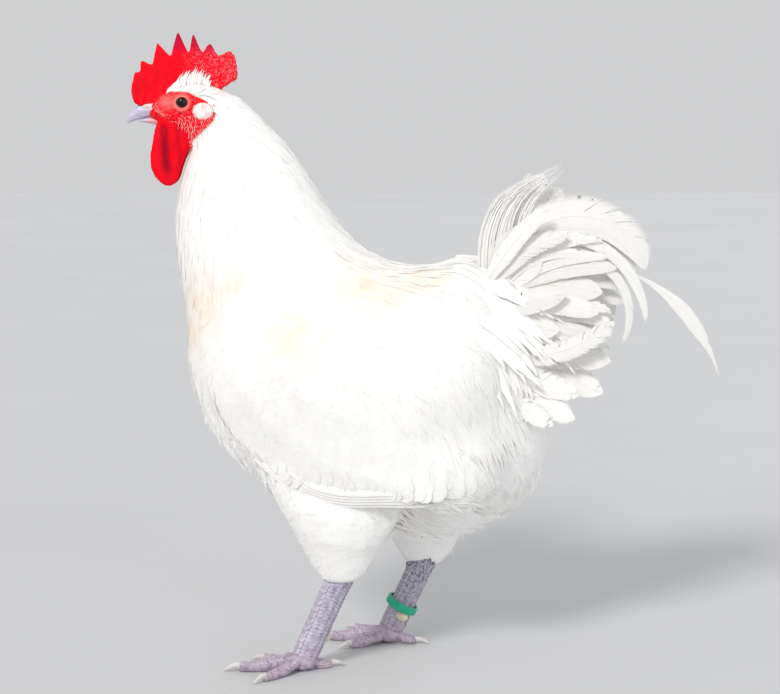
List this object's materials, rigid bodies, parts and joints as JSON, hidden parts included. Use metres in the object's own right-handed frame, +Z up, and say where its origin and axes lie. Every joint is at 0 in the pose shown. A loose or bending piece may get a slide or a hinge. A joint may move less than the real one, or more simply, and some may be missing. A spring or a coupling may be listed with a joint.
{
  "type": "rooster",
  "caption": "Life-size standing rooster with white plumage, a single upright red comb, slate-blue legs and a plain leg ring; a still model that stands on its own feet.",
  "frame": {"origin": "on the floor, under the centre of the bird's box", "axes": "+Z up, -X the way the bird faces, -Y its left side"},
  "size_m": [0.4502, 0.1764, 0.4856],
  "materials": {
    "plumage": "soft white feathers, faintly cream where the sun has warmed them",
    "flesh": "finely grained red skin, satin",
    "lobe": "smooth white skin, faintly pink",
    "horn": "bluish-white horn, satin",
    "claw": "pale horn, satin",
    "spur": "cream horn, satin",
    "scales": "slate-blue scaled skin, pinkish on the toes",
    "eye": "wet and glossy, dark",
    "ring": "smooth green plastic without marks"
  },
  "bodies": {
    "root": {"neck": "plumage", "trunk": "plumage", "thigh_left": "plumage", "thigh_right": "plumage", "wing_left": "plumage", "wing_right": "plumage", "tail_fan": "plumage", "tail_left": "plumage", "tail_right": "plumage", "head": "flesh", "comb": "flesh", "wattle_left": "flesh", "wattle_right": "flesh", "earlobe_left": "lobe", "earlobe_right": "lobe", "beak_upper": "horn", "beak_lower": "horn", "claw_left_inner": "claw", "claw_left_middle": "claw", "claw_left_outer": "claw", "claw_left_hind": "claw", "claw_right_inner": "claw", "claw_right_middle": "claw", "claw_right_outer": "claw", "claw_right_hind": "claw", "spur_left": "spur", "spur_right": "spur", "shank_left": "scales", "shank_right": "scales", "foot_left": "scales", "foot_right": "scales", "eye_left": "eye", "eye_right": "eye", "leg_band": "ring"}
  },
  "joints": []
}
